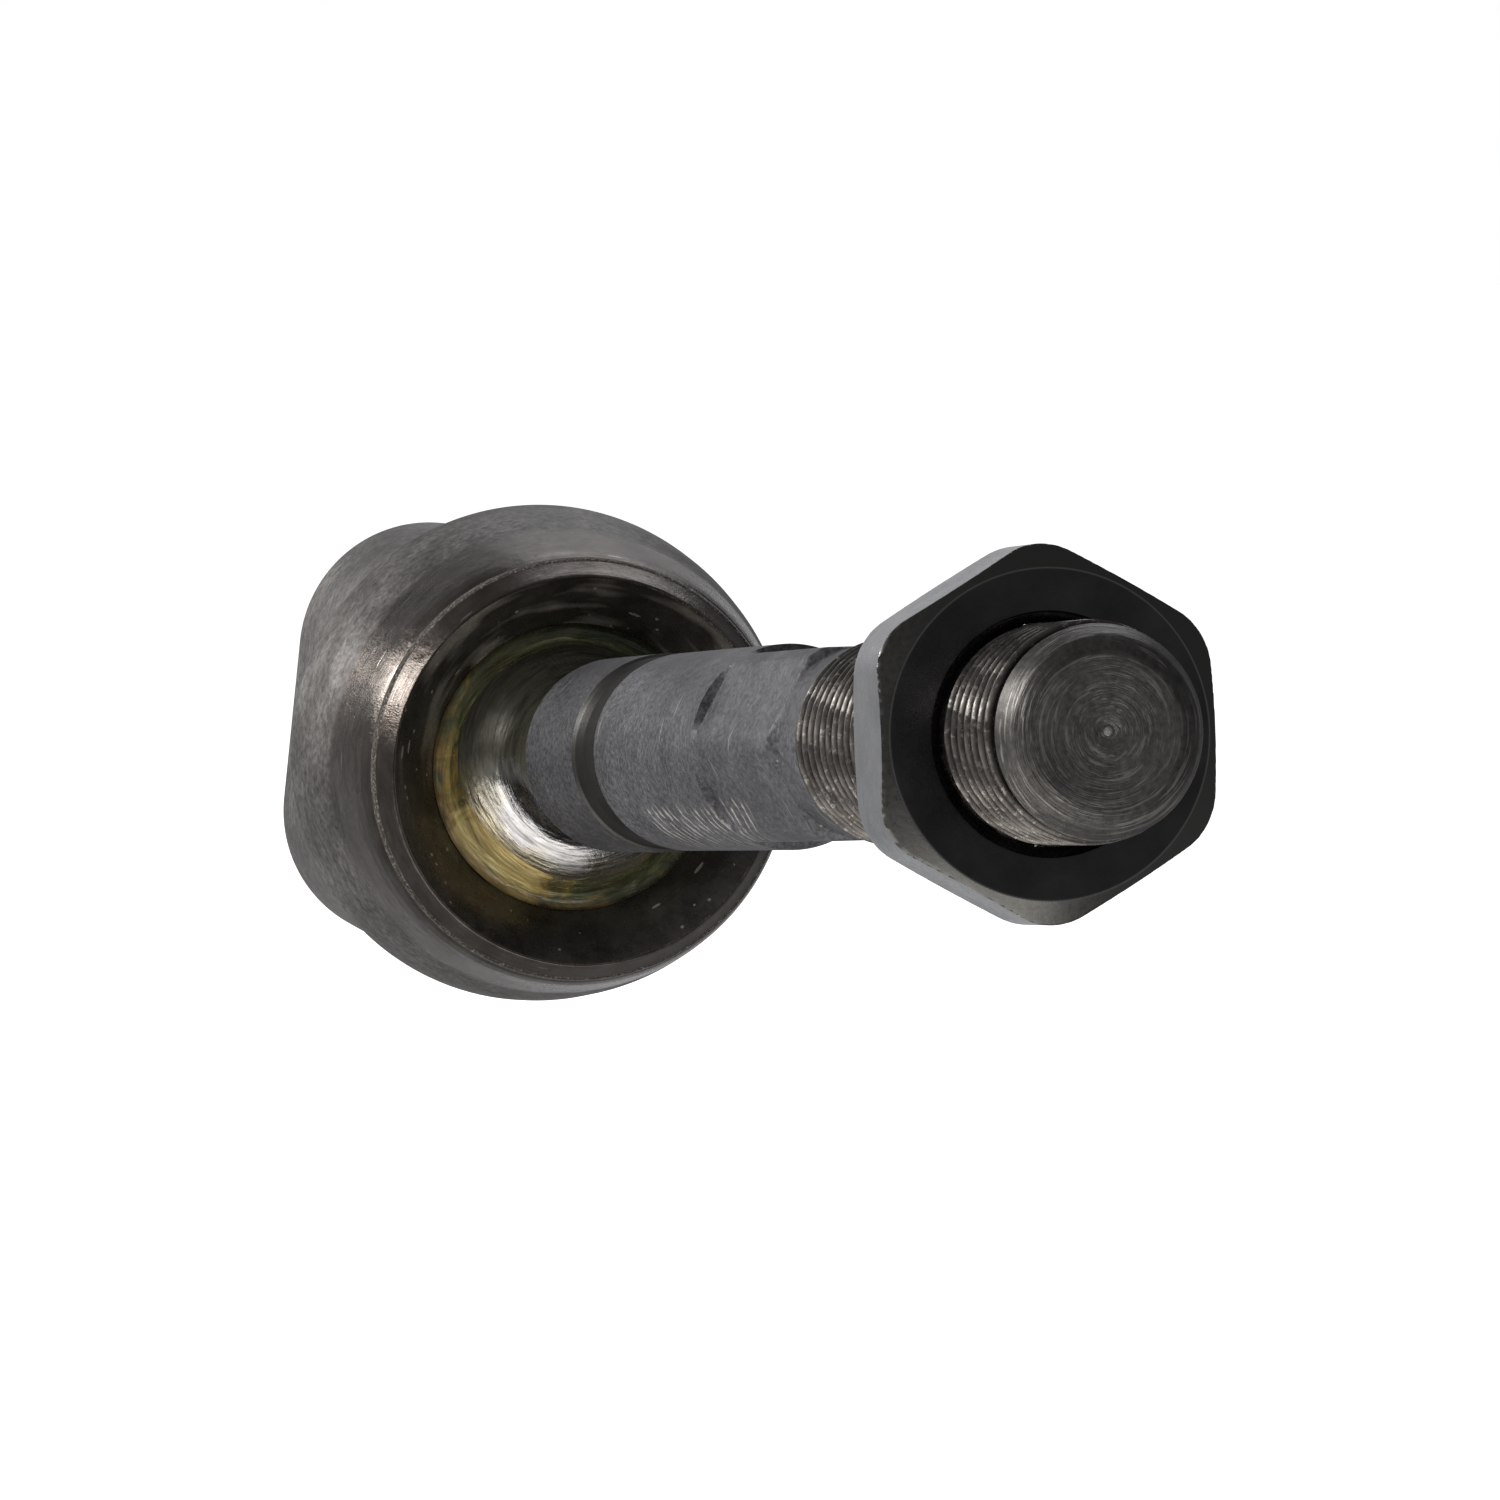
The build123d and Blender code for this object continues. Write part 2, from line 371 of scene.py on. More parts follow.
def forged_steel():
    """Forged skin, which turns smoother, browner and darker towards the rolled rim."""
    s = Shader("forged_skin")
    cloud = s.noise(230, 5, 0.6)
    fine = s.noise(1700, 4, 0.7)
    around = s.noise(1.0, 3, 0.6, s.polar(house_dir, BALL, 16.0, 6.0, 16.0))
    across = s.noise(1.0, 3, 0.6, s.polar(house_dir, BALL, 1.5, 160.0, 1.5))
    height = s.math("MULTIPLY_ADD", cloud, 1.6, s.along(house_dir, BALL))
    rolled = s.math("MULTIPLY_ADD", height, 0.7, -2.9, clamp=True)
    scale = s.ramp(cloud, (0.3, (0.122, 0.115, 0.111)), (0.7, (0.208, 0.202, 0.199)))
    scale = s.mix(1.0, scale, s.ramp(fine, (0.35, 0.55), (0.65, 1.4)), "MULTIPLY")
    smooth = s.ramp(cloud, (0.3, (0.08, 0.068, 0.06)), (0.7, (0.15, 0.134, 0.122)))
    smooth = s.mix(1.0, smooth, s.ramp(around, (0.35, 0.62), (0.65, 1.3)), "MULTIPLY")
    base = s.mix(rolled, scale, smooth)
    base = s.mix(s.math("MULTIPLY", s.scratches(3.0, 4), 0.5), base, (0.5, 0.5, 0.5))
    patch = s.ramp(s.noise(90, 5, 0.7, distortion=0.6), (0.35, 0.66), (0.65, 1.25))
    base = s.mix(1.0, base, patch, "MULTIPLY")
    nick = s.math("LESS_THAN", s.voronoi(330), 0.05)
    base = s.mix(s.math("MULTIPLY", nick, 0.7), base, (0.012, 0.011, 0.01))
    dull = s.ramp(cloud, (0.3, 0.42), (0.7, 0.56))
    brushed = s.ramp(across, (0.3, 0.15), (0.7, 0.26))
    rough = s.mix(rolled, dull, brushed)
    lines = s.math("MULTIPLY", s.math("ADD", across, around), s.math("MULTIPLY", rolled, 0.5))
    grain = s.math("MULTIPLY", fine, s.math("MULTIPLY_ADD", rolled, -0.9, 1.0))
    bump = s.bump(grain, 0.7, 0.00008, s.bump(cloud, 0.4, 0.0004))
    bump = s.bump(lines, 0.6, 0.00006, bump)
    return s.set(Base_Color=base, Metallic=0.85, Roughness=rough, Normal=bump)


def torn_steel():
    """The ridge where the rolling tool stopped: torn, with bright specks."""
    s = Shader("torn_steel")
    across = s.noise(1.0, 4, 0.7, s.polar(house_dir, BALL, 6.0, 110.0, 6.0))
    speck = s.ramp(across, (0.54, 0.0), (0.66, 1.0))
    base = s.mix(speck, (0.075, 0.064, 0.056), (0.6, 0.58, 0.54))
    bump = s.bump(across, 0.8, 0.0002)
    return s.set(Base_Color=base, Metallic=1.0, Roughness=0.3, Normal=bump)


def oily_cone():
    """The inside of the mouth: oily near-black, with bright specks and fibres."""
    s = Shader("oily_cone")
    cloud = s.noise(300, 4, 0.6)
    base = s.ramp(cloud, (0.35, (0.03, 0.028, 0.025)), (0.7, (0.075, 0.069, 0.06)))
    # Real lathe rings, lightened by a painted reflection that grows stronger towards the top
    rings = s.noise(1.0, 2, 0.7, s.polar(house_dir, BALL, 3.0, 1.2, 3.0))
    turned = s.ramp(rings, (0.52, 0.0), (0.64, 0.9))
    high = s.math("MULTIPLY_ADD", s.along((0, 0, 1), BALL), 0.08, 0.45, clamp=True)
    turned = s.math("MULTIPLY", s.math("MULTIPLY", turned, high), cloud)
    base = s.mix(turned, base, (0.5, 0.46, 0.41))
    speck = s.math("LESS_THAN", s.voronoi(640), 0.09)
    fibre = s.scratches(14.0, 3, 520, 110, 0.06)
    bits = s.math("MULTIPLY", s.math("MAXIMUM", speck, fibre), 0.6)
    base = s.mix(bits, base, (0.55, 0.53, 0.47))
    rough = s.ramp(s.noise(900, 3), (0.35, 0.18), (0.65, 0.4))
    bump = s.bump(s.noise(1100, 4, 0.6), 0.3, 0.0001, s.bump(bits, 0.6, 0.0001))
    return s.set(
        Base_Color=base, Metallic=0.5, Roughness=rough, Coat_Weight=0.25, Normal=bump
    )


def rub_marks(s):
    """Bright rings that the thread of a neighbouring rod rubbed into the underside of this one."""
    angle, height = s.round_axis(rod_dir, BALL)[1:]
    wander = s.noise(330, 3, 0.6)
    bent = s.math("MULTIPLY_ADD", wander, 2.4, height)
    ring = s.math("PINGPONG", s.math("DIVIDE", bent, PITCH), 0.5)
    thin = s.math("MULTIPLY_ADD", ring, -7.0, 1.4, clamp=True)
    worn = s.ramp(s.noise(800, 3, 0.7), (0.4, 0.0), (0.56, 1.0))
    fade = s.math("MULTIPLY_ADD", angle, -1.7, 5.2, clamp=True)
    worn = s.math("MULTIPLY", worn, fade)
    where = s.window(angle, RUB_TURN[0], RUB_TURN[1], 0.12)
    reach = s.window(bent, RUB_REACH[0], RUB_REACH[1], 1.5)
    return s.math("MULTIPLY", s.math("MULTIPLY", thin, worn), s.math("MULTIPLY", where, reach))


def phosphated_steel():
    """Dull grey coating, sandy, scratched and rubbed, and darker next to the ball."""
    s = Shader("phosphate_coat")
    cloud = s.noise(230, 5, 0.55)
    fine = s.noise(2600, 3, 0.7)
    base = s.ramp(cloud, (0.3, (0.066, 0.067, 0.074)), (0.7, (0.118, 0.12, 0.132)))
    base = s.mix(1.0, base, s.ramp(fine, (0.4, 0.6), (0.6, 1.4)), "MULTIPLY")
    speck = s.math("LESS_THAN", s.voronoi(950), 0.075)
    base = s.mix(s.math("MULTIPLY", speck, 0.5), base, (0.45, 0.45, 0.46))
    wiped = s.noise(1.0, 4, 0.6, s.stretched((55, 260, 260), (0, 0, 0), (0.6, 0.5, 0.2)))
    base = s.mix(1.0, base, s.ramp(wiped, (0.35, 0.84), (0.68, 1.2)), "MULTIPLY")
    line = s.math("MULTIPLY", s.scratches(1.0, 5, 520, 50, 0.05), 0.5)
    base = s.mix(line, base, (0.42, 0.42, 0.43))
    neck = s.window(s.along(rod_dir, BALL), 15.0, GROOVE[0] + 0.2, 0.4)
    base = s.mix(1.0, base, s.ramp(neck, (0.0, 1.0), (1.0, 0.68)), "MULTIPLY")
    base = s.mix(rub_marks(s), base, (0.5, 0.48, 0.455))
    rough = s.ramp(fine, (0.3, 0.48), (0.7, 0.64))
    bump = s.bump(fine, 0.25, 0.00005, s.bump(cloud, 0.15, 0.0003))
    return s.set(Base_Color=base, Metallic=0.4, Roughness=rough, Normal=bump)


def groove_steel():
    """The turned seat of the bellows: the same steel, smoother, its colour darkened as painted
    shade in the groove.
    """
    s = Shader("groove_steel")
    cloud = s.noise(260, 5, 0.55)
    rings = s.noise(1.0, 3, 0.6, s.polar(rod_dir, BALL, 1.0, 1.0, 9.0))
    # Painted shade: darker than the rod's coat, for the shade in the groove
    base = s.ramp(cloud, (0.3, (0.045, 0.044, 0.043)), (0.7, (0.085, 0.083, 0.08)))
    bump = s.bump(rings, 0.25, 0.00005)
    return s.set(
        Base_Color=base,
        Metallic=0.85,
        Roughness=0.42,
        Specular_IOR_Level=0.3,
        Specular_Tint=(0.5, 0.5, 0.5),
        Normal=bump,
    )


def polished_ball():
    """Bright steel, with a thin green smear of grease further from the neck, a painted highlight
    low on the left, and painted shade at the top and the bottom.
    """
    s = Shader("polished_ball")
    smear = s.noise(190, 4, 0.6, distortion=1.5)
    height = s.along(house_dir, BALL)
    reach = s.math("MULTIPLY_ADD", smear, 3.4, height)
    film = s.math("MULTIPLY_ADD", reach, -0.5, 6.85, clamp=True)
    tint = s.ramp(smear, (0.35, (0.24, 0.235, 0.12)), (0.7, (0.6, 0.5, 0.28)))
    base = s.mix(film, (0.52, 0.518, 0.53), tint)
    # Painted highlight: the filmed ball is lightened to warm yellow round the lit spot low on the
    # left
    spot_highlight = s.math("MULTIPLY", s.near(PAINTED_HIGHLIGHT_SPOT, 6.0), film)
    base = s.mix(spot_highlight, base, (0.7, 0.58, 0.36))
    rough = s.ramp(smear, (0.35, 0.12), (0.7, 0.3))
    metal = s.math("MULTIPLY_ADD", film, -0.45, 1.0)
    # Painted shade: the ball turns darker, near black and less metallic towards the top
    high = s.math("MULTIPLY_ADD", smear, 6.0, s.along((0, 0, 1), BALL))
    dark = s.math("MULTIPLY_ADD", high, 0.4, -0.55, clamp=True)
    base = s.mix(dark, base, (0.1, 0.098, 0.075))
    metal = s.math("MULTIPLY", metal, s.math("MULTIPLY_ADD", dark, -0.6, 1.0))
    rough = s.math("MULTIPLY_ADD", dark, 0.12, rough)
    strand = s.noise(1.0, 4, 0.6, s.polar(rod_dir, BALL, 2.0, 2.4, 2.0), 0.8)
    base = s.mix(1.0, base, s.ramp(strand, (0.35, 0.5), (0.6, 1.12)), "MULTIPLY")
    # Painted shade: the ball darkens towards the bottom, down to half
    low_shade = s.math("MULTIPLY_ADD", s.along((0, 0, 1), BALL), 0.12, 1.5, clamp=True)
    base = s.mix(1.0, base, s.math("MAXIMUM", low_shade, 0.5), "MULTIPLY")
    bump = s.bump(strand, 0.16, 0.0003, s.bump(smear, 0.35, 0.0004))
    return s.set(Base_Color=base, Metallic=metal, Roughness=rough, Normal=bump)


def thread_steel(name, axis, major):
    """Threads, with painted shade dark in their roots and a painted highlight bright on their
    crests.
    """
    s = Shader(name)
    cloud = s.noise(420, 5, 0.65)
    radius = s.round_axis(axis, BALL)[0]
    # Painted shade in the roots and painted highlight on the crests, by distance from the axis
    crest = s.ramp(s.math("SUBTRACT", radius, major - 0.6), (0.2, 0.1), (0.6, 1.3))
    base = s.ramp(cloud, (0.3, (0.07, 0.063, 0.058)), (0.7, (0.19, 0.18, 0.172)))
    base = s.mix(1.0, base, crest, "MULTIPLY")
    # Painted highlight: small glints on the crests
    glint = s.ramp(s.noise(1900, 3, 0.7), (0.57, 0.0), (0.63, 1.0))
    glint = s.math("MULTIPLY", s.math("MULTIPLY", glint, crest), 0.4)
    base = s.mix(glint, base, (0.5, 0.48, 0.46))
    rough = s.ramp(s.noise(2600, 3), (0.3, 0.34), (0.7, 0.52))
    bump = s.bump(s.noise(2200, 4, 0.7), 0.3, 0.00008)
    return s.set(Base_Color=base, Metallic=1.0, Roughness=rough, Normal=bump)


def end_steel(name, axis, face):
    """A turned end face, with the lathe tool's uneven rings and a chamfer darkened as painted
    shade.
    """
    s = Shader(name)
    rings = s.noise(1.0, 3, 0.75, s.polar(axis, BALL, 3.6, 0.9, 0.4), 0.3)
    patch = s.noise(300, 3, 0.7)
    fine = s.noise(2400, 3, 0.7)
    base = s.ramp(patch, (0.3, (0.105, 0.101, 0.098)), (0.7, (0.18, 0.175, 0.169)))
    base = s.mix(1.0, base, s.ramp(fine, (0.3, 0.75), (0.7, 1.3)), "MULTIPLY")
    radius = s.round_axis(axis, BALL)[0]
    bright = s.math("MULTIPLY", s.ramp(rings, (0.55, 0.0), (0.63, 0.8)), patch)
    bright = s.math("MAXIMUM", bright, s.window(radius, -0.2, 0.22, 0.1))
    # Painted shade: the chamfer is darkened to 0.6
    chamfer = s.window(radius, face, face + 2.5, 0.5)
    base = s.mix(1.0, base, s.ramp(chamfer, (0.0, 1.0), (1.0, 0.6)), "MULTIPLY")
    base = s.mix(bright, base, (0.5, 0.48, 0.45))
    base = s.mix(s.math("MULTIPLY", s.scratches(21.0, 3), 0.35), base, (0.5, 0.5, 0.48))
    bump = s.bump(rings, 0.7, 0.00015, s.bump(fine, 0.3, 0.00006))
    return s.set(Base_Color=base, Metallic=0.7, Roughness=0.46, Normal=bump)


def nut_steel():
    """Nearly black faces and chamfers and lighter sides, painted as shade and light on one finish,
    with worn edges.
    """
    s = Shader("nut_coat")
    cloud = s.noise(300, 4, 0.55)
    fine = s.noise(2600, 3, 0.7)
    radius, _, height = s.round_axis(rod_dir, BALL)
    middle, half = (NUT_FRONT + NUT_BACK) / 2, (NUT_FRONT - NUT_BACK) / 2
    depth = s.math("SUBTRACT", half, s.math("ABSOLUTE", s.math("SUBTRACT", height, middle)))
    fall = s.math("MAXIMUM", s.math("SUBTRACT", radius, NUT_FACE), 0.0)
    cone = s.math("MULTIPLY_ADD", fall, NUT_SLOPE, 0.05)
    side = s.math("GREATER_THAN", depth, cone)
    # Painted shade on the near-black faces and painted light on the lighter sides of the same
    # finish
    faces = s.ramp(cloud, (0.3, (0.062, 0.063, 0.065)), (0.7, (0.1, 0.101, 0.104)))
    chamfer = s.window(radius, NUT_FACE, NUT_FACE + 9, 0.2)
    faces = s.mix(chamfer, faces, (0.105, 0.104, 0.1))
    sides = s.ramp(cloud, (0.3, (0.3, 0.309, 0.33)), (0.7, (0.46, 0.471, 0.5)))
    base = s.mix(side, faces, sides)
    line = s.scratches(5.0, 4, 420, 40, 0.03)
    base = s.mix(s.math("MULTIPLY", line, 0.3), base, (0.6, 0.6, 0.62))
    rim = s.window(s.math("SUBTRACT", depth, cone), 0.0, 0.06, 0.03)
    worn = s.math("MULTIPLY", rim, s.ramp(s.noise(700, 3, 0.7), (0.5, 0.0), (0.6, 1.0)))
    worn = s.math("MAXIMUM", worn, s.window(radius, NUT_FACE - 0.06, NUT_FACE, 0.04))
    base = s.mix(s.math("MULTIPLY", worn, 0.35), base, (0.5, 0.5, 0.5))
    rough = s.ramp(fine, (0.3, 0.24), (0.7, 0.36))
    bump = s.bump(fine, 0.15, 0.00004, s.bump(cloud, 0.1, 0.0003))
    return s.set(Base_Color=base, Metallic=1.0, Roughness=rough, Normal=bump)


def grease(name, cover):
    """Olive grease with strands, turned golden towards the lower left by a painted highlight, and
    darkened by painted shade in under the throat.
    """
    s = Shader(name)
    streak = s.noise(230, 5, 0.65, distortion=2.0)
    # Painted light: on top of its own streaks, the grease is lightened towards the lower left and
    # round the lit spot
    bright = s.math("MULTIPLY_ADD", s.along((0, -0.8, -0.6), BALL), 0.02, streak)
    bright = s.math("MULTIPLY_ADD", s.near(PAINTED_HIGHLIGHT_SPOT, 5.0), 0.9, bright)
    base = s.ramp(
        bright,
        (0.25, (0.07, 0.085, 0.045)),
        (0.55, (0.17, 0.17, 0.08)),
        (0.75, (0.5, 0.34, 0.11)),
        (0.95, (1.0, 0.74, 0.3)),
    )
    strand = s.noise(1.0, 4, 0.6, s.polar(house_dir, BALL, 1.1, 1.7, 1.1), 1.2)
    base = s.mix(1.0, base, s.ramp(strand, (0.36, 0.55), (0.6, 1.4)), "MULTIPLY")
    froth = s.ramp(strand, (0.65, 0.0), (0.71, 0.35))
    base = s.mix(froth, base, (0.8, 0.72, 0.48))
    # Painted shade: darker further out from the housing's axis, in the wedge under the throat
    thin = s.math("SUBTRACT", s.round_axis(house_dir, BALL)[0], 10.0)
    base = s.mix(1.0, base, s.ramp(thin, (0.0, 1.0), (0.9, 0.3)), "MULTIPLY")
    bump = s.bump(strand, 0.5, 0.0004)
    return s.set(
        Base_Color=base,
        Metallic=0.15,
        Roughness=0.14,
        Alpha=cover,
        Specular_IOR_Level=0.6,
        Coat_Weight=0.6,
        Coat_Roughness=0.06,
        Subsurface_Weight=0.2,
        Subsurface_Scale=0.001,
        Normal=bump,
    )


def shell_plastic():
    s = Shader("shell_plastic")
    base = s.ramp(s.noise(300, 3), (0.3, (0.6, 0.56, 0.42)), (0.7, (0.72, 0.68, 0.52)))
    bump = s.bump(s.noise(1500, 3), 0.15, 0.00008)
    return s.set(Base_Color=base, Roughness=0.4, Subsurface_Weight=0.1, Normal=bump)


# ---------------------------------------------------------------- radii round an axis


def hex_radius(angle, half_width, clock, corner=0.0):
    """Radius of a hexagon's side at an angle. A corner, rounded, lies at the clock angle."""
    sixth = np.pi / 3
    off = np.abs((angle - np.radians(clock)) % sixth - sixth / 2)
    reach = (half_width - corner) / np.cos(sixth / 2)
    away = sixth / 2 - off
    root = np.sqrt(np.maximum(corner**2 - (reach * np.sin(away)) ** 2, 0))
    on_flat = half_width * np.tan(off) <= (half_width - corner) * np.tan(sixth / 2)
    return np.where(on_flat, half_width / np.cos(off), reach * np.cos(away) + root)


def helix_radius(dist, angle, major, depth):
    """Radius of a right-hand V thread with a flat crest and a flat root."""
    phase = (dist / PITCH - angle / (2 * np.pi)) % 1.0
    off = np.abs(phase - 0.5) * 2
    return major - depth * np.clip((off - 0.14) / 0.72, 0, 1)


def wave(angle, dist, seed):
    """Gentle unevenness of a forging, from a few slow waves."""
    out = 0
    for k in range(5):
        turn = (k + 2) * angle + seed * (k + 1.3) + dist * (0.23 + 0.11 * k)
        out = out + np.sin(turn) / (k + 2)
    return out


# ---------------------------------------------------------------- housing


def square_radius(angle):
    """Radius of the collar's rounded square at an angle."""
    turned = angle - np.radians(COLLAR_CLOCK)
    folded = np.abs((turned + np.pi / 4) % (np.pi / 2) - np.pi / 4)
    straight = COLLAR_HALF / np.cos(folded)
    middle = COLLAR_HALF - COLLAR_CORNER
    reach = middle * (np.cos(folded) + np.sin(folded))
    inside = reach**2 - 2 * middle**2 + COLLAR_CORNER**2
    round_part = reach + np.sqrt(np.maximum(inside, 0))
    on_flat = COLLAR_HALF * np.tan(folded) <= middle
    return np.where(on_flat, straight, round_part)


def housing_outline():
    """From the end of the stud, forward over the cup and its lip, and back inside to the axis."""
    stud = [
        (STUD_BACK, 0.0),
        (STUD_BACK, STUD_R - STUD_CHAMFER),
        (STUD_BACK + STUD_CHAMFER, STUD_R),
    ]
    steps = int((STUD_FRONT - STUD_BACK - STUD_CHAMFER) / PITCH * 12)
    turns = np.linspace(STUD_BACK + STUD_CHAMFER, STUD_FRONT, steps)
    thread = [(x, STUD_R) for x in turns]
    collar = [
        (-0.9, STUD_RELIEF_R),
        (0.0, STUD_RELIEF_R),
        (0.0, COLLAR_HALF - 0.8),
        (0.8, COLLAR_HALF),
        (COLLAR_FRONT, COLLAR_HALF),
    ]
    cup = [(-8.7, 18.5), (-6.5, CUP_R), (-3.5, 19.2), (0.0, 18.75), (3.5, 18.05)]
    cup += [(7.0, 17.32), (8.8, 16.96), (10.0, 16.68), (10.9, 16.4)]
    rim = [(RIDGE[0], 16.12), (11.55, 16.2), (11.95, 16.08), (12.1, 15.9), (12.4, 15.72)]
    rim += [(13.2, 15.25), (13.66, 14.98), LIP, (13.7, 14.7)]
    cone = [(9.0, 10.8), (7.64, 11.8), (7.64, 13.83), (5.5, 14.8), (0.0, 15.8)]
    cone += [(-9.0, 15.8), (-15.54, 9.54), (-15.54, 0.0)]
    inside = [(BALL_X + x, r) for x, r in cup + rim + cone]
    radii = [0.4, 0.25, 0.3, 0.3, 1.0]
    radii += [1.5] * 8 + [0.8] + [0.12] * 5 + [0.4, 0.25, 0.12, 0.15]
    front = collar + inside
    radii += [0.12] * (len(front) - 2 - len(radii))
    front = spaced(rounded(front, radii), 0.4)
    return np.vstack([spaced(np.array(stud), 0.4)[:-1], thread, front])


def housing_shape(dist, rad, ang):
    """Squares off the collar, joins it softly to the cup, and cuts the stud's thread."""
    flat = square_radius(ang)
    skin = (dist > -0.01) & (dist < BALL_X - 6.5) & (rad > SKIN_R)
    near_seat = skin & (dist < 0.85)
    grown = rad * flat / COLLAR_HALF
    cup_gap = np.maximum(CUP_R - rad, 1e-4)
    flat_gap = np.maximum(CUP_R - flat, 1e-4)
    joined = CUP_R - (cup_gap**-2.0 + flat_gap**-2.0) ** -0.5
    higher = np.maximum(rad, flat)
    soft = smoothstep(dist, COLLAR_FRONT - 3, COLLAR_FRONT + 0.5)
    united = higher + (joined - higher) * soft
    rad = np.where(near_seat, grown, np.where(skin, united, rad))
    forged = smoothstep(dist, 0.8, 3.0) * (1 - smoothstep(dist, BALL_X + 8, BALL_X + 10.5))
    rad = rad + 0.05 * wave(ang, 0.4 * dist, 1.7) * forged * (rad > SKIN_R)
    threaded = (dist < STUD_FRONT + 0.05) & (rad > STUD_R - 0.2)
    turn = helix_radius(dist, ang, STUD_R, THREAD_DEPTH)
    fade = smoothstep(dist, STUD_FRONT, STUD_FRONT - 1.4)
    cut = STUD_RELIEF_R + (turn - STUD_RELIEF_R) * fade
    tip = STUD_R - STUD_CHAMFER + (dist - STUD_BACK)
    rad = np.where(threaded, np.minimum(cut, np.maximum(tip, 6.9)), rad)
    return dist, rad


def housing_zones(a, b):
    """Material index: 0 forged skin, 1 inside of the mouth, 2 ridge, 3 stud, 4 its end."""
    x, r = (a[0] + b[0]) / 2, (a[1] + b[1]) / 2
    if x < STUD_BACK + 1.0:
        return 4
    if x < -0.05:
        return 3
    if x - BALL_X > 7 and r < LIP[1] - 0.12:
        return 1
    if RIDGE[0] < x - BALL_X < RIDGE[1] and r > RIDGE_R:
        return 2
    return 0


def build_housing():
    outline = housing_outline()
    seat = np.zeros(3)
    piece = lathe(
        "housing_forging", outline, seat, house_dir, housing_shape, 288, housing_zones, 35
    )
    stud = thread_steel("stud_thread", house_dir, STUD_R)
    stud_end = end_steel("stud_end", house_dir, STUD_FACE_R)
    for look in (forged_steel(), oily_cone(), torn_steel(), stud, stud_end):
        piece.data.materials.append(look)
    return piece


# ---------------------------------------------------------------- ball rod


def build_rod():
    fillet_y = NECK_R + NECK_FILLET
    fillet_x = np.sqrt((BALL_R + NECK_FILLET) ** 2 - fillet_y**2)
    junction = np.degrees(np.arctan2(fillet_y, fillet_x))
    ball = arc((0, 0), BALL_R, 180, junction, 90)
    neck = arc((fillet_x, fillet_y), NECK_FILLET, 180 + junction, 270, 24)[1:]
    body = [
        neck[-1],
        (18.3, NECK_R),
        (RIM_START - 0.5, 6.75),
        (RIM_START, RIM_R),
        (GROOVE[0], RIM_R),
        (GROOVE[0] + 0.25, 7.05),
        (GROOVE[0] + 1.6, GROOVE_R),
        (GROOVE[1] - 0.6, GROOVE_R),
        (GROOVE[1], SHANK_R),
        (WRENCH[0], SHANK_R),
        (WRENCH[0] + 0.25, SHANK_R),
        (WRENCH[1] - 0.45, SHANK_R),
        (WRENCH[1], BLANK_R),
        (THREAD[0] - 0.3, BLANK_R),
    ]
    radii = [3.0, 0.6, 0.25, 0.1, 0.3, 1.0, 0.4, 0.15, 0, 0, 0.12, 0.2]
    body = spaced(rounded(body, radii), 0.5)
    tip = [
        (THREAD[1] + 0.1, 6.9),
        (146.5, 6.71),
        (147.9, 6.0),
        (ROD_END, 4.9),
        (ROD_END - 0.06, 1.0),
        (ROD_END - 0.2, 0.45),
        (ROD_END - 0.12, 0.0),
    ]
    tip = spaced(rounded(tip, [0.1, 1.5, 1.5, 0.1, 0.1]), 0.3)
    count = int((THREAD[1] - THREAD[0]) / PITCH * 14)
    stretch = np.array([(u, THREAD_R) for u in np.linspace(THREAD[0], THREAD[1], count)])
    outline = np.vstack([np.array(ball), np.array(neck)[:-1], body, stretch, tip])
    outline[0, 1] = 0.0

    def shape(dist, rad, ang):
        wrench = hex_radius(ang, WRENCH_HALF, WRENCH_CLOCK)
        inside = (dist > WRENCH[0] + 0.1) & (dist < WRENCH[1] + 0.01)
        worn = np.maximum(0.12 - np.abs(rad - wrench), 0) ** 2 / 0.48
        rad = np.where(inside, np.minimum(rad, wrench) - worn, rad)
        threaded = (dist > THREAD[0] - 0.05) & (dist < THREAD[1] + 0.2) & (rad > 6.8)
        turn = helix_radius(dist, ang, THREAD_R, THREAD_DEPTH)
        fade = smoothstep(dist, THREAD[0], THREAD[0] + 1.6)
        chamfer = THREAD_R - 0.35 * smoothstep(dist, THREAD[1] - 1.2, THREAD[1] + 0.1)
        cut = np.minimum(BLANK_R + (turn - BLANK_R) * fade, chamfer)
        rad = np.where(threaded, cut, rad)
        return dist, rad

    def zones(a, b):
        """Material index: 0 coated rod, 1 ball and neck, 2 thread, 3 end, 4 groove."""
        x = (a[0] + b[0]) / 2
        if x < RIM_START - 0.6:
            return 1
        if x > THREAD[1] + 0.2:
            return 3
        if x > THREAD[0]:
            return 2
        if GROOVE[0] < x < GROOVE[1] - 0.3:
            return 4
        return 0

    piece = lathe("ball_rod_forging", outline, ball_centre, rod_dir, shape, 216, zones, 38)
    thread = thread_steel("rod_thread", rod_dir, THREAD_R)
    end = end_steel("rod_end", rod_dir, END_FACE_R)
    for look in (phosphated_steel(), polished_ball(), thread, end, groove_steel()):
        piece.data.materials.append(look)
    return piece


# ---------------------------------------------------------------- jam nut


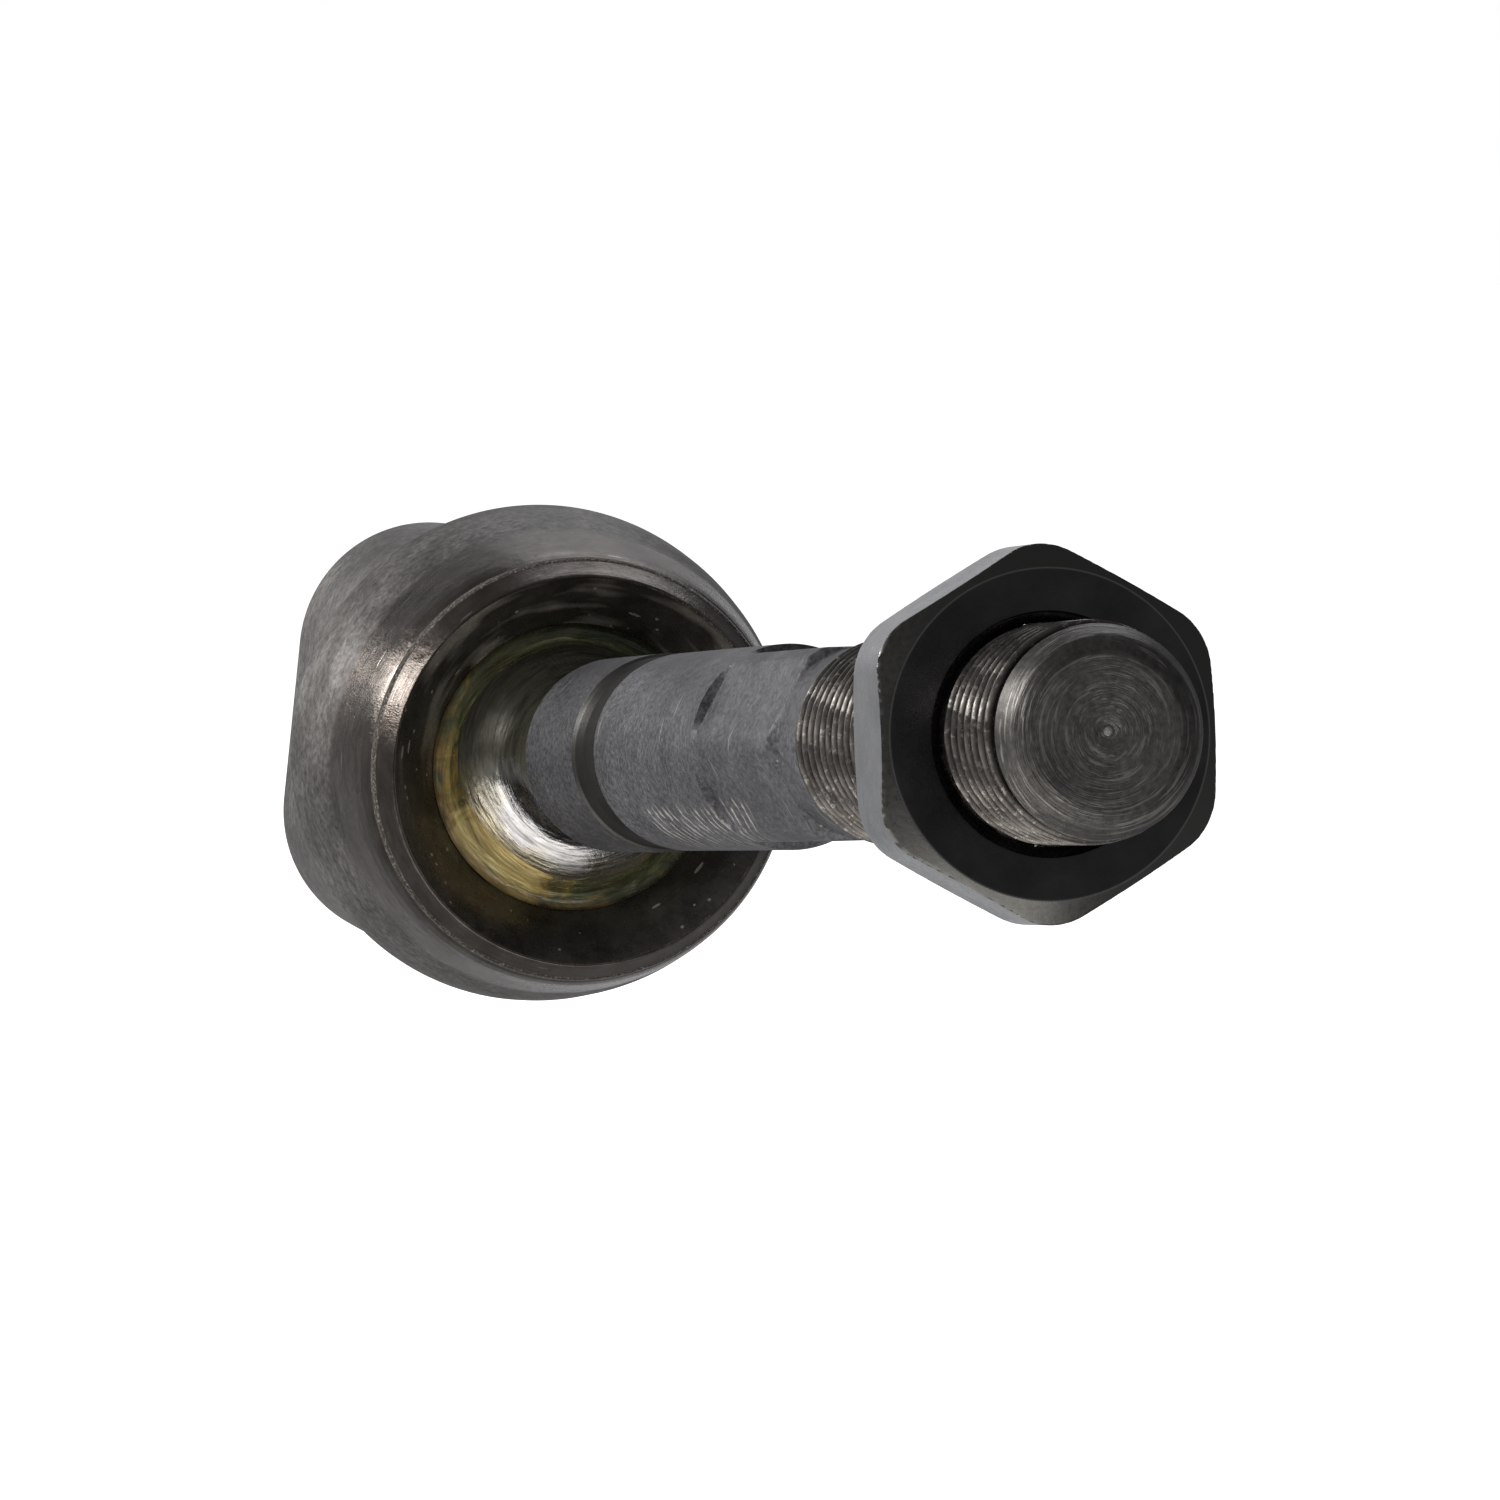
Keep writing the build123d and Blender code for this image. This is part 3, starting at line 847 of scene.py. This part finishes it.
def build_nut():
    bore, sink = THREAD_R + 0.06, 0.7
    drop = (NUT_CORNER_R - NUT_FACE) * NUT_SLOPE
    outer = [
        (NUT_BACK, 7.75),
        (NUT_BACK, NUT_FACE),
        (NUT_BACK + drop, NUT_CORNER_R),
        (NUT_FRONT - drop, NUT_CORNER_R),
        (NUT_FRONT, NUT_FACE),
        (NUT_FRONT, 7.75),
        (NUT_FRONT - sink, bore),
        (NUT_BACK + sink, bore),
        (NUT_BACK, 7.75),
    ]
    outer = spaced(rounded(outer, [0.15, 0, 0, 0.15, 0.1, 0.1, 0.1]), 0.2)[:-1]

    def shape(dist, rad, ang):
        side = hex_radius(ang, NUT_HALF, NUT_CLOCK, NUT_CORNER)
        return dist, np.minimum(rad, side)

    piece = lathe("jam_nut_detailed", outer, ball_centre, rod_dir, shape, 360, None, 24, True)
    piece.data.materials.append(nut_steel())
    return piece


# ---------------------------------------------------------------- grease


def build_film():
    """The thin smear that the ball carries round with it, uneven at its edge."""
    inner, edge = BALL_R + 0.015, 44.0
    spread = np.radians(np.linspace(edge, 140, 80))
    outline = [(np.cos(t), np.sin(t)) for t in spread]
    outline = np.array([(1.01 * x, 1.01 * r) for x, r in outline] + outline[::-1])

    def shape(dist, rad, ang):
        polar = np.degrees(np.arctan2(rad, dist))
        outer = np.hypot(dist, rad) > 1.005
        polar = polar + 1.2 * wave(ang, 0, 4.2) * (1 - smoothstep(polar, edge, 75))
        deep = 0.012 + 0.16 * smoothstep(polar, edge, 70)
        ball = np.where(outer, inner + deep, inner)
        return ball * np.cos(np.radians(polar)), ball * np.sin(np.radians(polar))

    piece = lathe("grease_smear", outline, ball_centre, rod_dir, shape, 192, None, 60, True)
    piece.data.materials.append(grease("grease_smear", 0.55))
    return piece


def build_ring_of_grease():
    """The ring of grease wiped off into the wedge between the ball and the throat."""
    top = [(9.72, 9.36), (9.42, 9.8), (9.18, 10.2), (9.08, 10.5), (9.12, 10.75), (9.3, 10.98)]
    under = [(8.9, 10.85), (8.5, 10.7), (8.55, 10.5), (9.1, 10.02), (9.6, 9.5)]
    outline = spaced(np.array(top + under + top[:1]), 0.12)[:-1]

    def shape(dist, rad, ang):
        near = 1 - smoothstep(np.abs(rad - 10.3), 0, 1.1)
        lump = 0.09 * wave(3 * ang, 2 * rad, 2.1) + 0.05 * wave(7 * ang, 5 * rad, 0.4)
        above = np.hypot(dist, rad) > BALL_R + 0.12
        dist = dist + np.where(above, lump * near, 0)
        rad = rad + 0.14 * wave(2 * ang, 0, 3.3) * (1 - smoothstep(rad, 9.4, 10.2))
        ball = np.hypot(dist, rad)
        grow = np.maximum(1, (BALL_R + 0.03) / ball)
        return dist * grow, rad * grow

    piece = lathe("grease_ring", outline, ball_centre, house_dir, shape, 256, None, 70, True)
    piece.data.materials.append(grease("grease_ring", 1.0))
    return piece


for build, body, node, slot in (
    (build_ring_of_grease, "shell", None, "grease"),
    (build_housing, "housing", "housing", "forged_steel"),
    (build_rod, "rod", "ball_rod", "phosphated_steel"),
    (build_nut, "nut", "jam_nut", "nut_steel"),
    (build_film, "grease", "grease_film", "grease"),
):
    piece = build()
    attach(piece, body)
    if node:
        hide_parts(node)

shell = frame["nodes"]["bearing_shell"]
shell.data.materials.clear()
shell.data.materials.append(shell_plastic())

# ---------------------------------------------------------------- stage, light, camera

FLOOR_Z = -0.06
LENS = 214.728
LOOK = Vector((-0.9752, 0.2105, -0.0684)).normalized()
UPRIGHT = Vector((-0.07, 0.0, 0.99755))
RIGHT = LOOK.cross(UPRIGHT).normalized()


def card(name, turn, lean, away, size, radiance, colour=(1, 1, 1)):
    """A soft box seen from the ball at a clock angle round the view, leaning back from the viewer.

    size is its extent round the view, then towards the viewer.
    """
    turn, lean = radians(turn), radians(lean)
    upright = RIGHT.cross(LOOK)
    out = cos(turn) * RIGHT + sin(turn) * upright
    around = -sin(turn) * RIGHT + cos(turn) * upright
    way = sin(lean) * out - cos(lean) * LOOK
    data = bpy.data.lights.new(name, "AREA")
    data.shape = "RECTANGLE"
    data.size, data.size_y = size
    data.energy = radiance * pi * size[0] * size[1]
    data.color = colour
    light = bpy.data.objects.new(name, data)
    spin = Matrix((around, way.cross(around), way)).transposed().to_4x4()
    light.matrix_world = Matrix.Translation(Vector(ball_centre) + away * way) @ spin
    bpy.context.scene.collection.objects.link(light)


def graded(nodes, links, value, start, end):
    """A smooth step from one (input, output) pair to another."""
    node = nodes.new("ShaderNodeMapRange")
    node.interpolation_type = "SMOOTHSTEP"
    node.inputs["From Min"].default_value, node.inputs["To Min"].default_value = start
    node.inputs["From Max"].default_value, node.inputs["To Max"].default_value = end
    links.new(value, node.inputs["Value"])
    return node.outputs[0]


def build_stage():
    """A pale floor, and a world that is white to the camera and lights the metal softly."""
    bpy.ops.mesh.primitive_plane_add(size=12, location=(0, 0, FLOOR_Z))
    floor = bpy.context.object
    floor.name = "floor"
    s = Shader("floor_white")
    tone = s.ramp(s.noise(3, 2), (0.3, 0.86), (0.7, 0.9))
    white = s.set(
        Base_Color=tone, Roughness=0.9, Emission_Color=(1.0, 1.0, 1.0), Emission_Strength=1.0
    )
    floor.data.materials.append(white)
    floor.visible_glossy = floor.visible_diffuse = floor.visible_shadow = False

    world = bpy.data.worlds.new("studio")
    bpy.context.scene.world = world
    world.use_nodes = True
    nodes, links = world.node_tree.nodes, world.node_tree.links
    nodes.clear()
    coord = nodes.new("ShaderNodeTexCoord")
    split = nodes.new("ShaderNodeSeparateXYZ")
    links.new(coord.outputs["Generated"], split.inputs[0])
    behind = nodes.new("ShaderNodeVectorMath")
    behind.operation = "DOT_PRODUCT"
    links.new(coord.outputs["Generated"], behind.inputs[0])
    behind.inputs[1].default_value = (LOOK + 0.03 * RIGHT.cross(LOOK) - 0.16 * RIGHT).normalized()
    white = graded(nodes, links, behind.outputs["Value"], (0.82, 0.0), (1.0, 0.65))
    dark = graded(nodes, links, split.outputs["Z"], (0.3, 0.13), (-0.8, 0.25))
    lit = nodes.new("ShaderNodeMath")
    lit.operation = "MAXIMUM"
    links.new(white, lit.inputs[0])
    links.new(dark, lit.inputs[1])
    rays = nodes.new("ShaderNodeLightPath")
    pick = nodes.new("ShaderNodeMix")
    pick.data_type = "RGBA"
    links.new(rays.outputs["Is Camera Ray"], pick.inputs["Factor"])
    links.new(lit.outputs[0], pick.inputs["A"])
    pick.inputs["B"].default_value = (1, 1, 1, 1)
    back = nodes.new("ShaderNodeBackground")
    links.new(pick.outputs["Result"], back.inputs["Color"])
    back.inputs["Strength"].default_value = 1.0
    out = nodes.new("ShaderNodeOutputWorld")
    links.new(back.outputs[0], out.inputs[0])


build_stage()
card("left_soft", 154, 84, 0.75, (0.15, 1.0), 14, (1.0, 0.97, 0.94))
card("rear_soft", 80, 125, 0.75, (0.5, 0.45), 1.6, (0.97, 0.98, 1.0))
card("low_left_soft", 250, 58, 0.75, (1.3, 0.6), 1.9, (1.0, 0.96, 0.91))

camera_data = bpy.data.cameras.new("camera")
camera_data.sensor_width = 36.0
camera_data.lens = LENS
camera_data.clip_start = 0.01
camera_data.clip_end = 50
camera = bpy.data.objects.new("camera", camera_data)
bpy.context.scene.collection.objects.link(camera)
camera.location = Vector(ball_centre) + Vector((0.6792, -0.1309, 0.0483))
turn = Matrix((RIGHT, RIGHT.cross(LOOK), -LOOK)).transposed().to_4x4()
camera.matrix_world = Matrix.Translation(camera.location) @ turn
bpy.context.scene.camera = camera
bpy.context.scene.view_settings.view_transform = "Standard"
